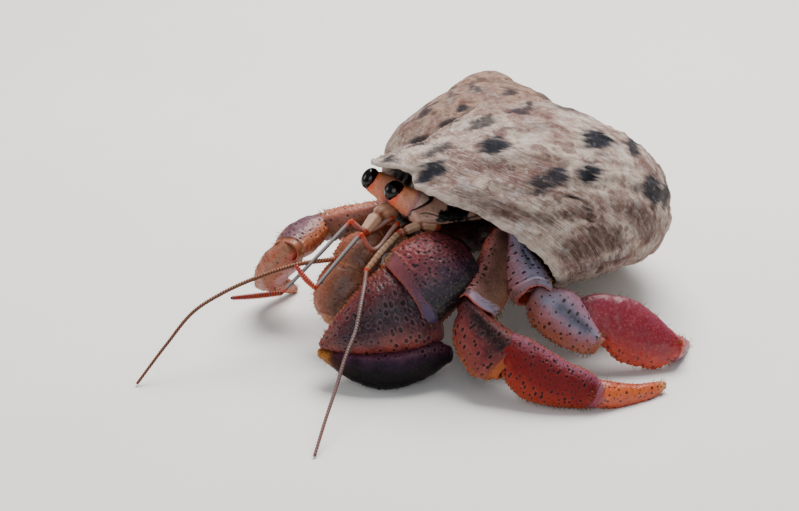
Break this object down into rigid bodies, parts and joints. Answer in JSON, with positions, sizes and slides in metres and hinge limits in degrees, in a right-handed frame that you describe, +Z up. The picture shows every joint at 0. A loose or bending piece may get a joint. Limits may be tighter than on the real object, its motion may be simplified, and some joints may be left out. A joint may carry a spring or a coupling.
{
  "type": "hermit crab",
  "caption": "Still life-size model of a land hermit crab walking in an eroded turban-shaped snail shell, with one large claw and long feelers.",
  "frame": {"origin": "on the floor, under the middle of the whole model's box", "axes": "+Z up, the crab faces -Y, its own left side is +X; millimetre source, metres here"},
  "size_m": [0.0809, 0.1064, 0.0383],
  "materials": {
    "shell": "eroded calcium carbonate, dull and finely striated",
    "shield": "hard chitin, satin",
    "belly": "softer skin, matt",
    "stalk": "smooth chitin, satin",
    "cornea": "glossy dark cornea",
    "tan": "thin translucent chitin, satin",
    "whip": "ringed chitin",
    "rod": "thin smooth chitin",
    "orange": "combed chitin",
    "purple": "hard granulate chitin, semi-gloss",
    "indigo": "hard dark chitin, semi-gloss",
    "mauve": "hard spotted chitin, semi-gloss",
    "rose": "hard spotted chitin, semi-gloss",
    "crimson": "hard smooth chitin, semi-gloss",
    "ember": "hard spotted chitin, semi-gloss"
  },
  "bodies": {
    "root": {"shell": "shell", "shield": "shield", "thorax": "belly", "abdomen": "belly", "cornea_left": "cornea", "eyestalk_left": "stalk", "antenna_base_left": "tan", "antenna_stem_left": "tan", "antenna_whip_left": "whip", "antennule_base_left": "tan", "antennule_rod_left": "rod", "antennule_tip_left": "orange", "maxilliped_left": "tan", "cornea_right": "cornea", "eyestalk_right": "stalk", "antenna_base_right": "tan", "antenna_stem_right": "tan", "antenna_whip_right": "whip", "antennule_base_right": "tan", "antennule_rod_right": "rod", "antennule_tip_right": "orange", "maxilliped_right": "tan", "cheliped_left_dactyl": "indigo", "cheliped_left_palm": "purple", "cheliped_left_carpus": "purple", "cheliped_left_merus": "indigo", "cheliped_left_coxa": "tan", "cheliped_right_dactyl": "tan", "cheliped_right_palm": "tan", "cheliped_right_carpus": "tan", "cheliped_right_merus": "tan", "cheliped_right_coxa": "tan", "leg_2_left_dactyl": "ember", "leg_2_left_propodus": "crimson", "leg_2_left_carpus": "rose", "leg_2_left_merus": "mauve", "leg_2_left_coxa": "tan", "leg_3_left_dactyl": "crimson", "leg_3_left_propodus": "crimson", "leg_3_left_carpus": "mauve", "leg_3_left_merus": "mauve", "leg_3_left_coxa": "tan", "leg_2_right_dactyl": "ember", "leg_2_right_propodus": "crimson", "leg_2_right_carpus": "mauve", "leg_2_right_merus": "rose", "leg_2_right_coxa": "tan", "leg_3_right_dactyl": "ember", "leg_3_right_propodus": "crimson", "leg_3_right_carpus": "mauve", "leg_3_right_merus": "rose", "leg_3_right_coxa": "tan"}
  },
  "joints": []
}
